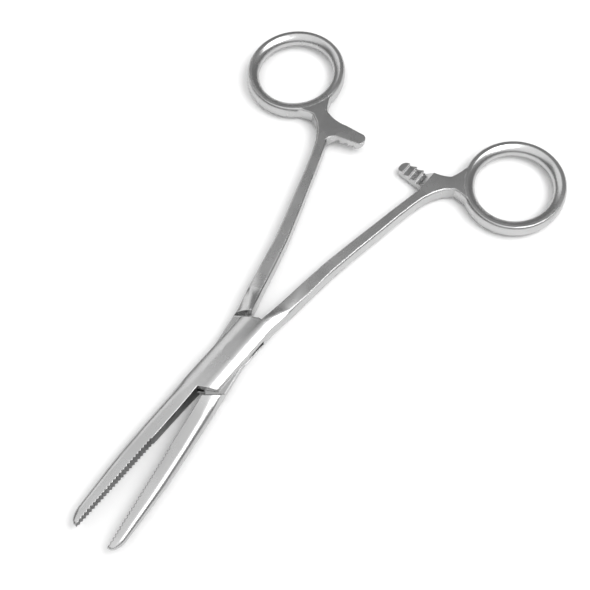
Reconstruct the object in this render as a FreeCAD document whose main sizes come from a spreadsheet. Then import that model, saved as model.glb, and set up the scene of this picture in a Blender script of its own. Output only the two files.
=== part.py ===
import FreeCAD, Part
import math
import os
import Sketcher

# Straight box-lock haemostat, 140 mm overall. Lengths in mm, angles in degrees.
# Every arm is drawn closed: +X runs from the pivot to the tips, the jaws meet on y = 0,
# and z = 0 is the middle of the thickness. The arms are then turned apart about the pivot.
sizes = {
    # Overall layout, measured from the pivot axis
    "tip_reach": 49.2,
    "ring_back": 77.1,
    "ring_aside": 25.4,
    "opening": 9.5,
    # Box of the lock, its crowned faces and slanted ends
    "box_length": 21.1,
    "box_width": 8.2,
    "box_thickness": 5.2,
    "box_land": 2.0,
    "box_edge_drop": 0.75,
    "box_side_bow": 0.4,
    "box_slant": 2.3,
    # Slot through the box, and the tongue that turns in it
    "tongue_thickness": 1.6,
    "tongue_width": 8.0,
    "window_length": 14.2,
    "slot_clearance": 0.07,
    "slot_end_gap": 0.35,
    "shoulder_gap": 0.4,
    "shoulder_lean": 0.9,
    # Rivet, seated in the box and free in the tongue
    "rivet_radius": 1.5,
    "rivet_head_radius": 2.2,
    "rivet_head_depth": 0.7,
    "rivet_clearance": 0.04,
    # Jaws: flat inside, half round outside
    "jaw_gap": 0.1,
    "jaw_neck_place": 16.0,
    "jaw_neck_width": 4.1,
    "jaw_neck_height": 3.9,
    "jaw_middle_place": 32.0,
    "jaw_middle_width": 3.7,
    "jaw_middle_height": 3.2,
    "jaw_tip_width": 2.25,
    "jaw_tip_height": 2.0,
    "jaw_tip_rounding": 0.75,
    # Cross serrations on the outer half of the jaws
    "serration_pitch": 0.88,
    "serration_depth": 0.34,
    "serration_count": 27,
    # Shanks: flat top and bottom, rounded edges and sides
    "shank_thickness": 3.8,
    "shank_edge": 0.3,
    "shank_root_gap": 0.5,
    "root_run": 4.2,
    "shank_neck_place": 17.0,
    "shank_neck_aside": 2.9,
    "shank_neck_flat": 2.6,
    "shank_neck_thickness": 4.2,
    "shank_middle_place": 31.0,
    "shank_middle_aside": 4.15,
    "shank_middle_flat": 2.4,
    "shank_end_place": 57.5,
    "shank_end_aside": 8.6,
    "shank_end_flat": 1.95,
    "shank_bulge": 0.38,
    # Finger rings
    "ring_long_radius": 11.7,
    "ring_cross_radius": 10.9,
    "ring_width": 3.2,
    "ring_flat": 0.8,
    "ring_outer_bow": 0.6,
    "stem_length": 3.4,
    "stem_angle": 52.5,
    "stem_flat": 3.4,
    "stem_flare": 8.6,
    "stem_ease": 0.03,
    # Ratchet bars
    "bar_place": 65.45,
    "bar_width": 3.1,
    "bar_root_width": 3.9,
    "bar_straight": 5.8,
    "bar_overlap": 0.2,
    "bar_root_aside": 8.3,
    "bar_corner": 1.3,
    "bar_ring_sweep": 10.0,
    "bar_ring_reach": 2.0,
    "bar_shank_sweep": 2.6,
    "ratchet_count": 3,
    "ratchet_pitch": 1.95,
    "ratchet_depth": 0.8,
    "ratchet_crest": 0.3,
    "ratchet_lead": 1.9,
    "ratchet_ramp": 2.2,
}


class Size:
    # A number together with the sheet formula that it comes from.
    def __init__(self, value, text):
        self.value = value
        self.text = text

    def joined(self, other, sign, value):
        other = other if isinstance(other, Size) else Size(other, str(other))
        return Size(value, "(" + self.text + " " + sign + " " + other.text + ")")

    def __add__(self, other):
        return self.joined(other, "+", self.value + number(other))

    def __sub__(self, other):
        return self.joined(other, "-", self.value - number(other))

    def __mul__(self, other):
        return self.joined(other, "*", self.value * number(other))

    def __truediv__(self, other):
        return self.joined(other, "/", self.value / number(other))

    def __neg__(self):
        return self * -1


def number(item):
    return item.value if isinstance(item, Size) else item


def size(name):
    return Size(sizes[name], "sizes." + name)


def write_sheet(doc):
    sheet = doc.addObject("Spreadsheet::Sheet", "sizes")
    for row, name in enumerate(sizes, start=1):
        sheet.set("A" + str(row), name)
        sheet.set("B" + str(row), str(sizes[name]))
        sheet.setAlias("B" + str(row), name)
    doc.recompute()


def origin_plane(body, role):
    return next(item for item in body.Origin.OriginFeatures if item.Role == role)


def place(sketch, base, turn=None):
    # Moves a sketch off its plane. base is along the sketch's own x, y and normal.
    angle = number(turn) if turn is not None else 0
    rotation = FreeCAD.Rotation(FreeCAD.Vector(0, 1, 0), angle)
    start = FreeCAD.Vector(*[number(item) for item in base])
    sketch.AttachmentOffset = FreeCAD.Placement(start, rotation)
    for axis, item in zip("xyz", base):
        if isinstance(item, Size):
            sketch.setExpression("AttachmentOffset.Base." + axis, item.text)
    if isinstance(turn, Size):
        sketch.setExpression("AttachmentOffset.Rotation.Angle", turn.text)


def new_sketch(body, name, role, base=(0, 0, 0), turn=None):
    sketch = body.newObject("Sketcher::SketchObject", name)
    sketch.AttachmentSupport = (origin_plane(body, role), [""])
    sketch.MapMode = "FlatFace"
    place(sketch, base, turn)
    return sketch


def pin(sketch, edge, point, place_xy):
    # Ties one end of an edge to its x and y.
    for kind, item in zip(("DistanceX", "DistanceY"), place_xy):
        index = sketch.addConstraint(Sketcher.Constraint(kind, -1, 1, edge, point, number(item)))
        if isinstance(item, Size):
            sketch.setExpression("Constraints[" + str(index) + "]", item.text)


def vector(point):
    return FreeCAD.Vector(number(point[0]), number(point[1]), 0)


def arc_between(start, end, radius):
    # Short arc from start to end. It bows to the right of the direction of travel where
    # radius is above zero, and to the left below zero.
    if radius < 0:
        start, end = end, start
    along = end - start
    inward = FreeCAD.Vector(-along.y, along.x, 0).normalize()
    centre = (start + end) * 0.5 + inward * math.sqrt(radius ** 2 - along.Length ** 2 / 4)
    angles = [math.atan2(point.y - centre.y, point.x - centre.x) for point in (start, end)]
    if angles[1] < angles[0]:
        angles[1] += 2 * math.pi
    circle = Part.Circle(centre, FreeCAD.Vector(0, 0, 1), abs(radius))
    return Part.ArcOfCircle(circle, angles[0], angles[1])


def draw(sketch, corners):
    # Draws a closed outline. Each corner is (x, y), or (x, y, radius) where an arc follows it.
    for index, corner in enumerate(corners):
        follower = corners[(index + 1) % len(corners)]
        start = vector(corner)
        end = vector(follower)
        if len(corner) == 2 or corner[2] is None:
            edge = sketch.addGeometry(Part.LineSegment(start, end), False)
            pin(sketch, edge, 1, corner[:2])
            pin(sketch, edge, 2, follower[:2])
            continue
        outward = number(corner[2]) > 0
        edge = sketch.addGeometry(arc_between(start, end, number(corner[2])), False)
        radius = corner[2] if outward else -corner[2]
        index = sketch.addConstraint(Sketcher.Constraint("Radius", edge, radius.value))
        sketch.setExpression("Constraints[" + str(index) + "]", radius.text)
        ends = (1, 2) if outward else (2, 1)
        pin(sketch, edge, ends[0], corner[:2])
        pin(sketch, edge, ends[1], follower[:2])


def mirrored(corners):
    # The same outline on the other side of the y axis, still drawn the same way round.
    turned_over = []
    for index in reversed(range(len(corners))):
        follower = corners[(index + 1) % len(corners)]
        turned_over.append((-follower[0], follower[1], corners[index][2]))
    return turned_over


def edge_radius(across, drop):
    # Arc that leaves a flat face smoothly and falls by drop over the width across.
    return (across * across + drop * drop) / (drop * 2)


def bar_section(inner, outer, height, outer_edge, inner_edge=None, rounded=True):
    # Flat top and bottom. Each eased side is (width of its edge, drop of its edge, bow of the
    # side), and a side without one is upright with sharp edges. The edges are arcs where
    # rounded is set, and narrow flats otherwise.
    high = height / 2
    across, drop, bow = outer_edge
    side = outer - bow
    shoulder = high - drop
    round_edge = edge_radius(across, drop) if rounded else None
    round_side = edge_radius(shoulder, bow)
    right = [
        (side - across, -high, round_edge), (side, -shoulder, round_side),
        (side, shoulder, round_edge), (side - across, high, None)]
    if inner_edge is None:
        return right + [(inner, high, None), (inner, -high, None)]
    across, drop, bow = inner_edge
    side = inner + bow
    shoulder = high - drop
    round_edge = edge_radius(across, drop) if rounded else None
    round_side = edge_radius(shoulder, bow)
    return right + [
        (side + across, high, round_edge), (side, shoulder, round_side),
        (side, -shoulder, round_edge), (side + across, -high, None)]


def mixed(items, weights):
    # Weighted sum of sizes.
    total = items[0] * weights[0]
    for item, weight in zip(items[1:], weights[1:]):
        total = total + item * weight
    return total


def filled_in(stations, parts):
    # Adds stations on the smooth curve through the measured ones. The first value of each
    # station is its place.
    filled = [stations[0]]
    last = len(stations) - 1
    for index in range(last):
        near = [stations[max(index - 1, 0)], stations[index], stations[index + 1],
                stations[min(index + 2, last)]]
        places = [number(item[0]) for item in near]
        step = places[2] - places[1]
        before = step / (places[2] - places[0])
        after = step / (places[3] - places[1])
        for part in range(1, parts[index]):
            t = part / parts[index]
            leave = t * (1 - t) ** 2
            arrive = t * t * (t - 1)
            rest = t * t * (3 - 2 * t)
            weights = [-leave * before, 1 - rest - arrive * after, rest + leave * before, arrive * after]
            weights = [round(weight, 4) for weight in weights[:3]]
            weights.append(round(1 - sum(weights), 4))
            filled.append(tuple(mixed(values, weights) for values in zip(*near)))
        filled.append(stations[index + 1])
    return filled


def pad_like(body, kind, name, sketch, length, symmetric=True, reverse=False):
    feature = body.newObject("PartDesign::" + kind, name)
    feature.Profile = sketch
    feature.Length = number(length)
    feature.setExpression("Length", length.text)
    feature.SideType = "Symmetric" if symmetric else "One side"
    feature.Reversed = reverse
    return feature


def loft(body, name, sections):
    feature = body.newObject("PartDesign::AdditiveLoft", name)
    feature.Profile = sections[0]
    feature.Sections = sections[1:]
    feature.Ruled = True
    return feature


def box_edge():
    # Rounded edge of the box, from the flat land in the middle of its face to its side.
    bow = size("box_side_bow")
    return size("box_width") / 2 - bow - size("box_land") / 2, size("box_edge_drop"), bow


def half_round(height):
    # The same three values for a half-round side, as arcs of 60 degrees.
    return height * 0.433, height * 0.25, height * 0.067


def jaw(body, side, start):
    # From half of the box's section to half-round ones. side is +1 where the jaw lies at y > 0.
    inner = size("jaw_gap") / 2
    root = (size("box_width") / 2, size("box_thickness")) + box_edge()
    stations = [(size("box_length") / 2,) + root]
    for name in ("neck", "middle", "tip"):
        height = size("jaw_" + name + "_height")
        place = size("tip_reach") if name == "tip" else size("jaw_" + name + "_place")
        stations.append((place, inner + size("jaw_" + name + "_width"), height) + half_round(height))
    stations = filled_in(stations, (2, 2, 4))
    if start is not None:
        stations = [(start,) + root] + stations
    sections = []
    for index, (place, outer, height, across, drop, bow) in enumerate(stations):
        sketch = new_sketch(body, "jaw_section_" + str(index), "YZ_Plane", (0, 0, place))
        corners = bar_section(inner, outer, height, (across, drop, bow))
        draw(sketch, corners if side > 0 else mirrored(corners))
        sections.append(sketch)
    return loft(body, "jaw", sections)


def stem_points():
    # Where the stem leaves the shank's bend, and where it meets the middle of the ring's rim.
    middle = (size("ring_long_radius") + size("ring_cross_radius")) / 2
    reach = middle + size("ring_width") / 2 - size("ring_outer_bow") - size("ring_flat")
    cosine = math.cos(math.radians(sizes["stem_angle"]))
    sine = math.sin(math.radians(sizes["stem_angle"]))
    rim = (size("ring_back") - reach * cosine, size("ring_aside") - reach * sine)
    foot = (rim[0] - size("stem_length") * cosine, rim[1] - size("stem_length") * sine)
    return foot, rim


def shank_stations():
    # Each station is its place behind the pivot, its distance aside, half its width, its
    # height, and the rounded edges and bows of its outer and inner sides.
    thick = size("shank_thickness")
    bulge = size("shank_bulge")
    edge = size("shank_edge")
    foot, rim = stem_points()
    inner = size("shank_root_gap")
    outer = size("box_width") / 2
    middle = (size("shank_middle_place"), size("shank_middle_aside"), size("shank_middle_flat"))
    end = (size("shank_end_place"), size("shank_end_aside"), size("shank_end_flat"))
    later = (middle[0] * 0.4 + end[0] * 0.6, middle[1] * 0.42 + end[1] * 0.58, end[2] + 0.15)
    bend = (end[0] * 0.42 + foot[0] * 0.58, end[1] * 0.64 + foot[1] * 0.36, end[2] + 0.4)
    rounded = (edge, edge, bulge - edge) * 2
    half_rounded = (edge, edge, bulge - edge)
    stations = [
        (size("box_length") / 2, (inner + outer) / 2, (outer - inner) / 2, size("box_thickness"))
        + box_edge() + half_rounded,
        (size("shank_neck_place"), size("shank_neck_aside"), size("shank_neck_flat") / 2 + bulge,
         size("shank_neck_thickness")) + rounded]
    for place, aside, flat in (middle, later, end, bend, foot + (size("stem_flat"),)):
        stations.append((place, aside, flat / 2 + bulge, thick) + rounded)
    stations.append(rim + (size("stem_flare") / 2 + bulge, thick) + rounded)
    return stations


def shank(body, side, start):
    # Rounded bar from the box to the finger ring, on the other side from the jaw.
    stations = filled_in(shank_stations(), (2, 2, 2, 2, 2, 2, 3))
    end = stations[-1]
    stations[-1] = end[:3] + (end[3] - size("stem_ease") * 2,) + end[4:]
    turns = [0]
    for index in range(1, len(stations)):
        near = stations[index - 1]
        far = stations[min(index + 1, len(stations) - 1)]
        rise = number(far[1]) - number(near[1])
        turns.append(math.degrees(math.atan2(rise, number(far[0]) - number(near[0]))))
    turns[-1] = size("stem_angle")
    if start is not None:
        stations = [(start,) + stations[0][1:]] + stations
        turns = [0] + turns
    sections = []
    for index, station in enumerate(stations):
        place, aside, half, height = station[:4]
        turn = turns[index] * side
        sketch = new_sketch(body, "shank_section_" + str(index), "YZ_Plane", (aside * -side, 0, -place), turn)
        on_box = number(place) <= sizes["box_length"] / 2
        corners = bar_section(-half, half, height, station[4:7], station[7:], on_box)
        draw(sketch, corners if side < 0 else mirrored(corners))
        sections.append(sketch)
    return loft(body, "shank", sections)


def ring_section():
    # Flat top and bottom. The sides are five narrow flats each, along half an oval that bows
    # more towards the finger than outside.
    outer = size("ring_width") / 2
    edge = outer - size("ring_outer_bow")
    high = size("shank_thickness") / 2
    corners = []
    finger_bow = outer * 2 - size("ring_outer_bow") - size("ring_flat")
    for side, start, bow in ((1, edge, size("ring_outer_bow")), (-1, edge - size("ring_flat"), finger_bow)):
        for step in range(6):
            angle = math.radians(36 * step)
            corners.append((start + bow * math.sin(angle) * side, high * -math.cos(angle) * side))
    return corners


def ring(body, side):
    # Oval finger ring, its section swept round its middle line.
    long_radius = size("ring_long_radius")
    cross_radius = size("ring_cross_radius")
    back = -size("ring_back")
    aside = size("ring_aside") * -side
    path = new_sketch(body, "ring_path", "XY_Plane", (back, aside, 0))
    path.addGeometry(Part.Ellipse(FreeCAD.Vector(0, 0, 0), long_radius.value, cross_radius.value), False)
    path.exposeInternalGeometry(0)
    path.addConstraint(Sketcher.Constraint("Coincident", 0, 3, -1, 1))
    path.addConstraint(Sketcher.Constraint("Horizontal", 1))
    for axis, radius in ((1, long_radius), (2, cross_radius)):
        index = path.addConstraint(Sketcher.Constraint("Distance", axis, radius.value * 2))
        path.setExpression("Constraints[" + str(index) + "]", (radius * 2).text)
    profile = new_sketch(body, "ring_section", "XZ_Plane", (back + long_radius, 0, -aside))
    draw(profile, ring_section())
    feature = body.newObject("PartDesign::AdditivePipe", "ring")
    feature.Profile = profile
    feature.Spine = (path, ["Edge1"])
    feature.Mode = "Standard"
    return feature


def bar(body, side):
    # Ratchet bar in plan at full thickness, with a rounded end and a sweep into the stem and
    # another into the shank. Each corner is its place, its distance aside and its radius.
    foot, rim = stem_points()
    place = size("bar_place")
    half = size("bar_width") / 2
    root = size("bar_root_width") / 2
    corner = size("bar_corner")
    tip = -size("bar_overlap")
    straight = size("bar_straight")
    sweep = size("bar_shank_sweep")
    cosine = math.cos(math.radians(sizes["stem_angle"]))
    corners = [
        (place + half - corner, tip, corner),
        (place + half, tip + corner, None),
        (place + root, straight, -size("bar_ring_sweep")),
        (place + root + size("bar_ring_reach"), foot[1] - size("stem_flat") / 2 * cosine, None),
        (foot[0], foot[1], None),
        (place - root - sweep, size("shank_end_aside") + sweep / 4, None),
        (place - root - sweep, straight + sweep, -sweep),
        (place - root, straight, None),
        (place - half, tip + corner, corner),
        (place - half + corner, tip, None)]
    sketch = new_sketch(body, "bar_outline", "XY_Plane")
    draw(sketch, [(-back, aside * -side, radius and radius * side) for back, aside, radius in corners])
    return pad_like(body, "Pad", "bar", sketch, size("shank_thickness"))


def teeth_outline(side, up):
    # Side view of what is cut from the bar: ramps that rise towards the shank and end in a
    # steep face, then a ramp to full height. up is +1 where the teeth face upwards.
    over = size("shank_thickness") * up
    high = size("shank_thickness") / 2 * up
    crest = size("ratchet_depth") / 2 * up
    root = -crest
    pitch = size("ratchet_pitch")
    flat = size("ratchet_crest")
    tip = -size("bar_overlap")
    base = size("bar_root_aside")
    corners = [(tip - pitch, over), (tip - pitch, root), (tip, root)]
    for index in range(sizes["ratchet_count"]):
        peak = tip + size("ratchet_lead") + pitch * index
        if index > 0:
            corners.append((peak - pitch + flat, root))
        corners += [(peak - flat, crest), (peak, crest), (peak, root)]
    corners += [(base - size("ratchet_ramp"), root), (base, high), (base, over)]
    return [(aside * -side, level) for aside, level in corners]


def teeth(body, side, up):
    base = (0, 0, -size("bar_place"))
    sketch = new_sketch(body, "teeth_outline", "YZ_Plane", base)
    draw(sketch, teeth_outline(side, up))
    return pad_like(body, "Pocket", "teeth", sketch, size("bar_root_width") + size("bar_ring_reach") * 2)


def lock_outline(gap, width):
    # Plan of the lock: pointed at both ends, where the jaws and the shanks part.
    tip = size("box_length") / 2 + gap
    corner = tip - size("box_slant") * width / size("box_width")
    half = width / 2
    return [(tip, 0), (corner, half), (-corner, half), (-tip, 0), (-corner, -half), (corner, -half)]


def box_corners():
    half = size("box_width") / 2
    return bar_section(-half, half, size("box_thickness"), box_edge(), box_edge())


def box(body, side):
    # The two corners that face the other arm's jaw and shank are cut back at a slant.
    section = new_sketch(body, "box_section", "YZ_Plane")
    draw(section, box_corners())
    pad_like(body, "Pad", "box", section, size("box_length"))
    body.Document.recompute()
    ends = new_sketch(body, "box_ends", "XY_Plane")
    tip = size("box_length") / 2
    corner = tip - size("box_slant")
    half = size("box_width") / 2
    clear = size("box_width")
    for end in (1, -1):
        flank = -side * end
        points = [(tip, 0), (corner, half), (corner, clear), (tip + clear, clear), (tip + clear, 0)]
        draw(ends, [(x * end, y * flank) for x, y in points[:-1]] + [((tip + clear) * end, 0)])
    pad_like(body, "Pocket", "box_ends_cut", ends, size("box_thickness") * 2)


def tongue(body, side):
    # Thin plate that lies in the slot. The thick jaw and shank stand off from it at two
    # leaning shoulders, which keep clear of the ends of the box.
    gap = size("shoulder_gap")
    thick = size("tongue_thickness")
    rise = (sizes["box_thickness"] - sizes["tongue_thickness"]) / 2
    slope = math.atan2(sizes["box_slant"], sizes["box_width"] / 2)
    lean = math.degrees(math.atan2(sizes["shoulder_lean"] * math.cos(slope), rise))
    for name, face in (("upper", 1), ("lower", -1)):
        sketch = new_sketch(body, name + "_shoulder_outline", "XY_Plane", (0, 0, thick / 2 * face))
        draw(sketch, lock_outline(gap, size("box_width") + 4))
        cut = pad_like(body, "Pocket", name + "_shoulder", sketch, size("box_thickness"), False, face > 0)
        cut.TaperAngle = lean
    plate = new_sketch(body, "tongue_outline", "XY_Plane")
    half = size("tongue_width") / 2
    tip = size("box_length") / 2 + gap + 1
    shoulder = tip - size("box_slant") - 0.6
    inner = size("box_length") / 2 - 0.1
    window = size("window_length") / 2 - size("slot_end_gap")
    points = [
        (tip, size("jaw_gap")), (tip, half - 1.2), (shoulder, half), (-window, half), (-inner, 0),
        (-tip, -size("jaw_gap") * 10), (-tip, -half + 1.2), (-shoulder, -half), (window, -half), (inner, 0)]
    draw(plate, [(x, y * side if isinstance(y, Size) else y) for x, y in points])
    pad_like(body, "Pad", "tongue", plate, thick)


def slot(body, side):
    # Slot through the box, open on both sides. Its end walls slant to the two crotches.
    sketch = new_sketch(body, "slot_outline", "XY_Plane")
    tip = size("box_length") / 2 + 0.5
    window = size("window_length") / 2
    reach = size("box_width")
    half = size("tongue_width") / 2
    points = [
        (tip, -reach), (tip, 0), (window, half), (window, reach),
        (-tip, reach), (-tip, 0), (-window, -half), (-window, -reach)]
    draw(sketch, [(x, y * side if isinstance(y, Size) else y) for x, y in points])
    pad_like(body, "Pocket", "slot", sketch, size("tongue_thickness") + size("slot_clearance") * 2)


def rivet_outline():
    # Half section of the rivet, which spreads at both ends in the countersinks of the box.
    shaft = size("rivet_radius")
    head = size("rivet_head_radius")
    end = size("box_thickness") / 2
    neck = end - size("rivet_head_depth")
    return [(0, -end), (head, -end), (shaft, -neck), (shaft, neck), (head, end), (0, end)]


def turned(body, kind, name, outline):
    sketch = new_sketch(body, name + "_outline", "XZ_Plane")
    draw(sketch, outline)
    feature = body.newObject("PartDesign::" + kind, name)
    feature.Profile = sketch
    feature.ReferenceAxis = (sketch, ["V_Axis"])
    feature.Angle = 360
    return feature


def rivet_hole(body):
    sketch = new_sketch(body, "rivet_hole_outline", "XY_Plane")
    edge = sketch.addGeometry(Part.Circle(FreeCAD.Vector(), FreeCAD.Vector(0, 0, 1), 1), False)
    sketch.addConstraint(Sketcher.Constraint("Coincident", edge, 3, -1, 1))
    radius = size("rivet_radius") + size("rivet_clearance")
    index = sketch.addConstraint(Sketcher.Constraint("Radius", edge, radius.value))
    sketch.setExpression("Constraints[" + str(index) + "]", radius.text)
    pad_like(body, "Pocket", "rivet_hole", sketch, size("tongue_thickness") + 1)


def serrations(body, side, shift):
    # One V groove across the jaw face, repeated up to the tip.
    pitch = size("serration_pitch")
    depth = size("serration_depth")
    first = size("tip_reach") - pitch * (sizes["serration_count"] - 0.5 + shift)
    sketch = new_sketch(body, "serration_outline", "XY_Plane")
    face = size("jaw_gap") / 2 * side
    points = [(first - pitch / 2, face - 0.001 * side), (first + pitch / 2, face - 0.001 * side),
              (first, face + depth * side)]
    draw(sketch, points)
    groove = pad_like(body, "Pocket", "serration", sketch, size("box_thickness"))
    body.Document.recompute()
    row = body.newObject("PartDesign::LinearPattern", "serrations")
    row.Originals = [groove]
    row.Direction = (origin_plane(body, "X_Axis"), [""])
    row.Length = sizes["serration_pitch"] * (sizes["serration_count"] - 1)
    row.setExpression("Length", "sizes.serration_pitch * (sizes.serration_count - 1)")
    row.Occurrences = sizes["serration_count"]
    row.setExpression("Occurrences", "sizes.serration_count")
    body.Tip = row


def edges_where(feature, wanted):
    names = []
    for index, edge in enumerate(feature.Shape.Edges, start=1):
        if wanted([vertex.Point for vertex in edge.Vertexes], edge):
            names.append("Edge" + str(index))
    return names


def fillet(body, name, wanted, radius):
    body.Document.recompute()
    base = body.Tip
    feature = body.newObject("PartDesign::Fillet", name)
    feature.Base = (base, edges_where(base, wanted))
    feature.Radius = radius.value
    feature.setExpression("Radius", radius.text)
    return feature


def round_tip(body, side):
    # The end of the jaw is rounded over, apart from its edge on the gripping face.
    tip = sizes["tip_reach"]
    face = sizes["jaw_gap"]

    def at_tip(points, edge):
        on_end = all(abs(point.x - tip) < 1e-4 for point in points)
        return on_end and any(abs(point.y) > face for point in points)

    fillet(body, "tip_rounding", at_tip, size("jaw_tip_rounding"))


def turn_arm(body, side):
    # Sets the arm on the table and swings it open by half the angle between the arms.
    up = FreeCAD.Vector(0, 0, 1)
    half = sizes["opening"] / 2 * side
    body.Placement = FreeCAD.Placement(FreeCAD.Vector(0, 0, sizes["box_thickness"] / 2), FreeCAD.Rotation(up, half))
    body.setExpression("Placement.Base.z", "sizes.box_thickness / 2")
    body.setExpression("Placement.Rotation.Angle", "sizes.opening / 2 * " + str(side))


def new_body(doc, label):
    body = doc.addObject("PartDesign::Body", label)
    body.Label = label
    return body


def box_arm(doc):
    # Arm with the slotted box. Its jaw lies at y < 0 and its ring at y > 0.
    body = new_body(doc, "box_arm")
    box(body, -1)
    jaw(body, -1, None)
    shank(body, -1, None)
    bar(body, -1)
    teeth(body, -1, 1)
    ring(body, -1)
    round_tip(body, -1)
    slot(body, -1)
    turned(body, "Groove", "rivet_seat", rivet_outline())
    serrations(body, -1, 0.0)
    turn_arm(body, -1)
    return body


def tongue_arm(doc):
    # Arm that passes through the box. Its jaw lies at y > 0 and its ring at y < 0.
    body = new_body(doc, "tongue_arm")
    start = size("box_length") / 2 - size("root_run")
    jaw(body, 1, start)
    shank(body, 1, start)
    bar(body, 1)
    teeth(body, 1, -1)
    ring(body, 1)
    tongue(body, 1)
    round_tip(body, 1)
    rivet_hole(body)
    serrations(body, 1, 0.5)
    turn_arm(body, 1)
    return body


def pivot_rivet(doc):
    body = new_body(doc, "pivot_rivet")
    turned(body, "Revolution", "rivet", rivet_outline())
    around = new_sketch(body, "flush_outline", "YZ_Plane")
    draw(around, box_corners())
    wide = size("box_width")
    draw(around, [(-wide, -wide), (wide, -wide), (wide, wide), (-wide, wide)])
    pad_like(body, "Pocket", "flush_ends", around, size("rivet_head_radius") * 4)
    body.Placement = FreeCAD.Placement(FreeCAD.Vector(0, 0, sizes["box_thickness"] / 2), FreeCAD.Rotation())
    body.setExpression("Placement.Base.z", "sizes.box_thickness / 2")
    return body


def main():
    doc = FreeCAD.newDocument("haemostat")
    write_sheet(doc)
    pieces = [box_arm(doc), tongue_arm(doc), pivot_rivet(doc)]
    doc.recompute()
    for item in doc.Objects:
        if "Invalid" in item.State or "Error" in item.State:
            raise RuntimeError(item.Label + " could not be built: " + str(item.State))
    for feature in doc.Objects:
        if feature.TypeId in ("PartDesign::Pocket", "PartDesign::Groove"):
            if feature.Shape.Volume >= feature.BaseFeature.Shape.Volume:
                raise RuntimeError(feature.Label + " cut nothing away")
    for piece in pieces:
        shape = piece.Shape
        if shape.isNull() or not shape.isValid() or len(shape.Solids) != 1:
            raise RuntimeError(piece.Label + " is not one sound solid")
    os.makedirs("parts", exist_ok=True)
    for piece in pieces:
        piece.Shape.exportStep("parts/" + piece.Label + ".step")
        print(piece.Label, round(piece.Shape.Volume, 2), piece.Shape.BoundBox)


main()
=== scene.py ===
import math
import bpy
import bmesh
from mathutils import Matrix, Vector


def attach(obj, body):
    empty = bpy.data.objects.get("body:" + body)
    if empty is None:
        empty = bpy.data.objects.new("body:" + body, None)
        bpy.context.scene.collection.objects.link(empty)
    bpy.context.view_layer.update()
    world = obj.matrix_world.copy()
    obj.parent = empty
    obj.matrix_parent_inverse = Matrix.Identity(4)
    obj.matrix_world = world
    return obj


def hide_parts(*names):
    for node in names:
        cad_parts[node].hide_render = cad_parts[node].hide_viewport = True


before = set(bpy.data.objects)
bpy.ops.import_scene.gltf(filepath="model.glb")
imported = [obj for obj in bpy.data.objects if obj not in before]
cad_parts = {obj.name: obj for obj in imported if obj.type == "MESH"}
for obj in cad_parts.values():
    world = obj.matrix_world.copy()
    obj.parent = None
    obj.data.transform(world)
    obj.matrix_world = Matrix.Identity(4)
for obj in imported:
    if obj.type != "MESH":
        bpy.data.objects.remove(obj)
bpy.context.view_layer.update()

millimetre = 0.001
print("haemostat: frame loaded,", len(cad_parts), "nodes")


# Colour and node helpers

def linearColour(hexColour):
    # The numbers are those of the sRGB standard's own curve
    channels = []
    for start in (1, 3, 5):
        value = int(hexColour[start:start + 2], 16) / 255
        channels.append(value / 12.92 if value <= 0.04045 else ((value + 0.055) / 1.055) ** 2.4)
    return (*channels, 1.0)


def addNode(tree, kind, settings=None, links=None):
    # One node with its properties, its socket values and the sockets that feed it
    node = tree.nodes.new(kind)
    for name, value in (settings or {}).items():
        if name in node.inputs:
            node.inputs[name].default_value = value
        else:
            setattr(node, name, value)
    for name, source in (links or {}).items():
        tree.links.new(source, node.inputs[name])
    return node


# Camera at the photograph's angle

camera = {
    "azimuth": 123.58,           # degrees round the object
    "elevation": 62.39,          # degrees above the table
    "distance": 242.05,          # mm from the lens to the point aimed at
    "aim": (-20.07, 4.24, 4.5),  # mm, on the plane of the shanks' tops
    "focalLength": 64.8,         # mm
    "sensor": 36,                # mm across
    "clip": (5, 5000),           # mm, the nearest and farthest that it sees
}


def addCamera(settings):
    turn = math.radians(settings["azimuth"])
    tilt = math.radians(settings["elevation"])
    level = math.cos(tilt)
    back = Vector((math.sin(turn) * level, -math.cos(turn) * level, math.sin(tilt)))
    near, far = settings["clip"]
    lens = bpy.data.cameras.new("photoCamera")
    lens.lens = settings["focalLength"]
    lens.sensor_width = settings["sensor"]
    lens.clip_start = near * millimetre
    lens.clip_end = far * millimetre
    holder = bpy.data.objects.new("photoCamera", lens)
    bpy.context.scene.collection.objects.link(holder)
    holder.location = (Vector(settings["aim"]) + back * settings["distance"]) * millimetre
    holder.rotation_euler = (-back).to_track_quat("-Z", "Y").to_euler()
    bpy.context.scene.camera = holder


addCamera(camera)
print("haemostat: camera placed")


# Table of white paper board, matt, with no grain to see from here

table = {
    "side": 2400,         # mm
    "colour": "#ffffff",
    "roughness": 0.75,
}


def addTable(settings):
    mesh = bpy.data.meshes.new("table")
    plan = bmesh.new()
    half = settings["side"] / 2 * millimetre
    bmesh.ops.create_grid(plan, x_segments=1, y_segments=1, size=half)
    plan.to_mesh(mesh)
    plan.free()
    top = bpy.data.objects.new("table", mesh)
    bpy.context.scene.collection.objects.link(top)
    material = bpy.data.materials.new("whitePaperBoard")
    material.use_nodes = True
    shader = material.node_tree.nodes["Principled BSDF"]
    shader.inputs["Base Color"].default_value = linearColour(settings["colour"])
    shader.inputs["Roughness"].default_value = settings["roughness"]
    mesh.materials.append(material)


addTable(table)


# Two softboxes, and a white tent over the object, bright towards its lit side and grey on the
# far side, which the steel's flat tops mirror

softboxes = {
    "overheadSoftbox": {
        "power": 1.8,               # W
        "size": (460, 320),         # mm
        "place": (-150, 280, 550),  # mm
        "aim": (-20, 0, 0),         # mm
    },
    "leftSoftbox": {
        "power": 0.5,
        "size": (400, 400),
        "place": (-150, -420, 420),
        "aim": (-20, 0, 0),
    },
}

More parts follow.
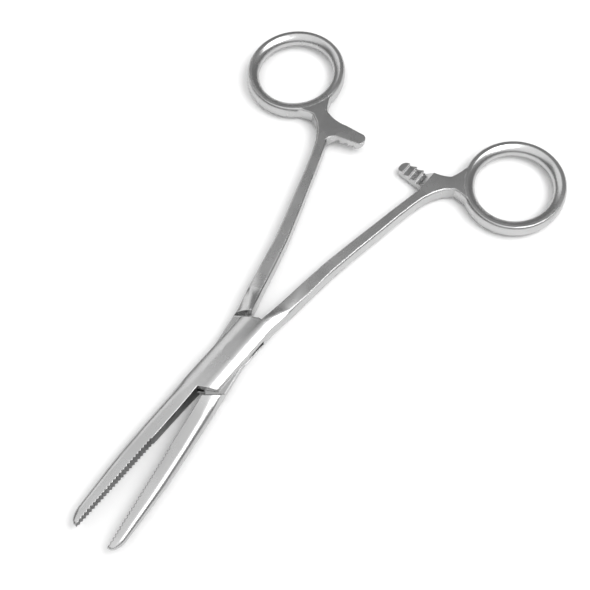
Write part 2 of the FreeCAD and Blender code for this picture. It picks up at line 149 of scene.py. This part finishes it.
tent = {
    "litSide": (0.35, 0.25, 0.9),   # the way to the middle of its brightest part
    "span": (0.4, 0.9),             # cosine of the angle to that way, from the grey to the white
    "shades": (                     # place in that span, and shade
        (0.0, "#7c7c7c"), (0.22, "#7e7e7e"), (0.38, "#868686"), (0.5, "#c8c8c8"),
        (0.6, "#dedede"), (0.72, "#f0f0f0"), (0.86, "#ffffff"),
    ),
    "strength": 1.2,
}


def addSoftbox(name, settings):
    width, depth = settings["size"]
    place = Vector(settings["place"])
    light = bpy.data.lights.new(name, "AREA")
    light.shape = "RECTANGLE"
    light.size = width * millimetre
    light.size_y = depth * millimetre
    light.energy = settings["power"]
    holder = bpy.data.objects.new(name, light)
    bpy.context.scene.collection.objects.link(holder)
    holder.location = place * millimetre
    holder.rotation_euler = (Vector(settings["aim"]) - place).to_track_quat("-Z", "Y").to_euler()


def lightTent(settings):
    world = bpy.data.worlds.new("tent")
    bpy.context.scene.world = world
    world.use_nodes = True
    tree = world.node_tree
    background = tree.nodes["Background"]
    background.inputs["Strength"].default_value = settings["strength"]
    way = addNode(tree, "ShaderNodeTexCoord")
    towards = addNode(tree, "ShaderNodeVectorMath", {"operation": "DOT_PRODUCT"},
                      {"Vector": way.outputs["Generated"]})
    towards.inputs[1].default_value = Vector(settings["litSide"]).normalized()
    low, high = settings["span"]
    place = addNode(tree, "ShaderNodeMapRange", {"From Min": low, "From Max": high},
                    {"Value": towards.outputs["Value"]})
    shade = addNode(tree, "ShaderNodeValToRGB", {}, {"Fac": place.outputs["Result"]})
    stops = shade.color_ramp.elements
    while len(stops) < len(settings["shades"]):
        stops.new(0.5)
    for stop, (position, colour) in zip(stops, settings["shades"]):
        stop.position = position
        stop.color = linearColour(colour)
    tree.links.new(shade.outputs["Color"], background.inputs["Color"])
    bpy.context.scene.view_settings.view_transform = "Standard"


for name, settings in softboxes.items():
    addSoftbox(name, settings)
lightTent(tent)
print("haemostat: table, tent and", len(softboxes), "softboxes placed")


# Satin-ground stainless steel: the belt leaves a soft grey sheen, with fine scratches along
# the arm, faint clouds where the hand changed its pressure, and a slightly uneven surface

satinSteel = {
    "colour": "#c9c9c9",
    "cloudColour": "#b4b4b4",
    "roughness": (0.2, 0.32),  # lowest and highest, they change with the clouds
    "edgeRadius": 0.35,        # mm, the edges are rolled over by the polishing wheel
    "scratchWidth": 0.22,      # mm, real ones are near 0.03, too fine to show
    "scratchLength": 5.0,      # mm
    "grain": 0.35,             # mm, the satin's speckle, real grit is near 0.08
    "cloud": 9.0,              # mm
    "scratchHeight": 0.0045,   # mm
    "grainHeight": 0.0070,     # mm
}

# The gripping faces are cut with a form tool and left as cut, duller than the rest; their darker
# colour is painted shade, for the shadowed table between the jaws that they mirror

gripSteelWithPaintedShade = {
    "colour": "#6e6e6e",
    "cloudColour": "#5b5b5b",
    "roughness": (0.34, 0.48),
    "edgeRadius": 0.05,
    "scratchWidth": 0.2,
    "scratchLength": 2.4,
    "grain": 0.3,
    "cloud": 4.0,
    "scratchHeight": 0.004,
    "grainHeight": 0.005,
}

# What both finishes share
finish = {
    "scratchNoise": {"Scale": 1.0, "Detail": 3.0, "Roughness": 0.6},  # sized by its mapping
    "grainNoise": {"Detail": 2.0, "Roughness": 0.5},
    "cloudNoise": {"Detail": 4.0, "Roughness": 0.55},
    "cloudSpan": (0.3, 0.7),   # the clouds' noise at the lowest and the highest roughness
    "edgeSamples": 6,          # rays that round an edge in shading
    "rivetBlend": (2.6, 3.2),  # mm from the rivet's axis, where the rounding starts and is full
}


def steel(name, settings, swing):
    # swing is the way that the scratches run, in degrees from the x axis
    material = bpy.data.materials.new(name)
    material.use_nodes = True
    tree = material.node_tree
    shader = tree.nodes["Principled BSDF"]
    shader.inputs["Metallic"].default_value = 1.0
    place = addNode(tree, "ShaderNodeTexCoord")
    along = addNode(tree, "ShaderNodeMapping", {"Rotation": (0, 0, math.radians(-swing))},
                    {"Vector": place.outputs["Object"]})
    thin = 1 / (settings["scratchWidth"] * millimetre)
    long = 1 / (settings["scratchLength"] * millimetre)
    stretched = addNode(tree, "ShaderNodeMapping", {"Scale": (long, thin, thin)},
                        {"Vector": along.outputs["Vector"]})
    scratches = addNode(tree, "ShaderNodeTexNoise", finish["scratchNoise"],
                        {"Vector": stretched.outputs["Vector"]})
    grain = addNode(tree, "ShaderNodeTexNoise",
                    {"Scale": 1 / (settings["grain"] * millimetre), **finish["grainNoise"]},
                    {"Vector": place.outputs["Object"]})
    clouds = addNode(tree, "ShaderNodeTexNoise",
                     {"Scale": 1 / (settings["cloud"] * millimetre), **finish["cloudNoise"]},
                     {"Vector": along.outputs["Vector"]})
    # The mixer's colour sockets go by number, because it has several of each name
    tint = addNode(tree, "ShaderNodeMix", {"data_type": "RGBA"}, {"Factor": clouds.outputs["Fac"]})
    tint.inputs[6].default_value = linearColour(settings["colour"])
    tint.inputs[7].default_value = linearColour(settings["cloudColour"])
    tree.links.new(tint.outputs[2], shader.inputs["Base Color"])
    thinCloud, thickCloud = finish["cloudSpan"]
    lowest, highest = settings["roughness"]
    sheen = addNode(tree, "ShaderNodeMapRange",
                    {"From Min": thinCloud, "From Max": thickCloud,
                     "To Min": lowest, "To Max": highest},
                    {"Value": clouds.outputs["Fac"]})
    tree.links.new(sheen.outputs["Result"], shader.inputs["Roughness"])
    # Over the rivet the wheel left no edge to see, so the radius fades out there
    parts = addNode(tree, "ShaderNodeSeparateXYZ", {}, {"Vector": place.outputs["Object"]})
    across = addNode(tree, "ShaderNodeCombineXYZ", {},
                     {"X": parts.outputs["X"], "Y": parts.outputs["Y"]})
    fromRivet = addNode(tree, "ShaderNodeVectorMath", {"operation": "LENGTH"},
                        {"Vector": across.outputs["Vector"]})
    near, far = finish["rivetBlend"]
    radius = addNode(tree, "ShaderNodeMapRange",
                     {"From Min": near * millimetre, "From Max": far * millimetre,
                      "To Min": 0.0, "To Max": settings["edgeRadius"] * millimetre},
                     {"Value": fromRivet.outputs["Value"]})
    rounded = addNode(tree, "ShaderNodeBevel", {"samples": finish["edgeSamples"]},
                      {"Radius": radius.outputs["Result"]})
    scored = addNode(tree, "ShaderNodeBump",
                     {"Strength": 1.0, "Distance": settings["scratchHeight"] * millimetre},
                     {"Height": scratches.outputs["Fac"], "Normal": rounded.outputs["Normal"]})
    speckled = addNode(tree, "ShaderNodeBump",
                       {"Strength": 1.0, "Distance": settings["grainHeight"] * millimetre},
                       {"Height": grain.outputs["Fac"], "Normal": scored.outputs["Normal"]})
    tree.links.new(speckled.outputs["Normal"], shader.inputs["Normal"])
    return material


# The two arms, each a merged copy of its solid with its ground edges just broken

arms = {
    "box_arm": {
        "piece": "boxArmForging",
        "body": "box_side",
        "swing": -4.75,    # degrees that the arm is turned from the x axis as it lies
        "gripSide": 1,     # 1 where the gripping face looks towards +y, -1 towards -y
    },
    "tongue_arm": {
        "piece": "tongueArmForging",
        "body": "tongue_side",
        "swing": 4.75,
        "gripSide": -1,
    },
}

edges = {
    "weld": 0.001,      # mm, corners nearer than this become one
    "coplanar": 0.3,    # degrees, facets flatter than this to each other become one face
    "level": 0.9995,    # a face is a flat top or bottom from this much of its normal along z
    "crisp": 38,        # degrees, sharper edges stay hard and are broken
    "flatCrisp": 12,    # degrees, at the border of a flat top, edges stay hard from here
    "broken": 0.09,     # mm
}

nose = {
    "length": 3.2,        # mm back from the tip
    "cuts": 8,
    "snap": 0.002,        # mm, a cut this near to a corner goes through it
    "narrowing": 0.8,     # how strongly the outer side comes in, 1 would end it in an edge
    "flattening": 0.55,   # how much of that the height follows
}

grip = {
    "from": 11.5,      # mm ahead of the rivet
    "depth": 0.5,      # mm behind the gripping face, the serrations' depth and a little more
    "facing": 0.3,     # a face belongs to it from this much of its normal towards the other jaw
    "leaning": 0.3,    # and up to this much along z
}


def roundNose(form, settings, swing, gripSide):
    # The jaw's end is ground round like a bullet, from its outer side to the gripping face
    turn = math.radians(swing)
    ahead = Vector((math.cos(turn), math.sin(turn), 0))
    outward = Vector((math.sin(turn), -math.cos(turn), 0)) * gripSide
    tip = max(ahead.dot(corner.co) for corner in form.verts)
    length = settings["length"] * millimetre
    for cut in range(settings["cuts"]):
        place = ahead * (tip - length * math.cos(math.pi / 2 * cut / settings["cuts"]))
        everything = list(form.verts) + list(form.edges) + list(form.faces)
        bmesh.ops.bisect_plane(form, geom=everything, plane_co=place, plane_no=ahead,
                               dist=settings["snap"] * millimetre)
    start = tip - length
    end = [corner for corner in form.verts if ahead.dot(corner.co) > start]
    heights = [corner.co.z for corner in end]
    middle = (min(heights) + max(heights)) / 2
    for corner in end:
        share = (ahead.dot(corner.co) - start) / length
        width = math.sqrt(1 - settings["narrowing"] * share ** 2)
        height = 1 - (1 - width) * settings["flattening"]
        corner.co -= outward * outward.dot(corner.co) * (1 - width)
        corner.co.z = middle + (corner.co.z - middle) * height


def mergedCopy(node, name, settings, arm):
    form = bmesh.new()
    form.from_mesh(node.data)
    bmesh.ops.remove_doubles(form, verts=form.verts, dist=settings["weld"] * millimetre)
    bmesh.ops.dissolve_limit(form, angle_limit=math.radians(settings["coplanar"]),
                             verts=form.verts, edges=form.edges)
    roundNose(form, nose, arm["swing"], arm["gripSide"])
    sharp = []
    for edge in form.edges:
        angle = math.degrees(edge.calc_face_angle(0))
        flat = [abs(face.normal.z) > settings["level"] for face in edge.link_faces]
        limit = settings["flatCrisp"] if any(flat) and not all(flat) else settings["crisp"]
        edge.smooth = angle < limit
        if angle > settings["crisp"]:
            sharp.append(edge)
    for face in form.faces:
        face.smooth = True
    bmesh.ops.bevel(form, geom=sharp, offset=settings["broken"] * millimetre, segments=1,
                    profile=0.5, affect="EDGES", clamp_overlap=True, material=-1)
    mesh = bpy.data.meshes.new(name)
    form.to_mesh(mesh)
    form.free()
    piece = bpy.data.objects.new(name, mesh)
    bpy.context.scene.collection.objects.link(piece)
    return piece


def markGripPaintedShade(mesh, settings, swing, gripSide):
    # Faces of the jaw's inner side take the second material, whose darker colour is painted shade
    turn = math.radians(-swing)
    for face in mesh.polygons:
        x, y, z = face.center
        nx, ny, nz = face.normal
        along = (x * math.cos(turn) - y * math.sin(turn)) / millimetre
        aside = (x * math.sin(turn) + y * math.cos(turn)) / millimetre * gripSide
        facing = (nx * math.sin(turn) + ny * math.cos(turn)) * gripSide
        onJaw = along > settings["from"] and aside > -settings["depth"]
        if onJaw and facing > settings["facing"] and abs(nz) < settings["leaning"]:
            face.material_index = 1


def addArm(nodeName, settings):
    name = settings["piece"]
    swing = settings["swing"]
    piece = mergedCopy(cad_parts[nodeName], name, edges, settings)
    piece.data.materials.clear()
    piece.data.materials.append(steel(name + "SatinGroundStainlessSteel", satinSteel, swing))
    # The cutter's marks run across the jaw; this second finish is darkened with painted shade
    piece.data.materials.append(steel(name + "GripPaintedShadeSteel", gripSteelWithPaintedShade, swing + 90))
    markGripPaintedShade(piece.data, grip, swing, settings["gripSide"])
    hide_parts(nodeName)
    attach(piece, settings["body"])
    print("haemostat:", name, len(piece.data.polygons), "faces")


for nodeName, settings in arms.items():
    addArm(nodeName, settings)

# The rivet is ground flush with the box by the same belt
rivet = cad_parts["pivot_rivet"]
rivetSteel = steel("rivetSatinGroundStainlessSteel", satinSteel, arms["box_arm"]["swing"])
rivet.material_slots[0].material = rivetSteel
print("haemostat: steel put on the arms and the rivet")
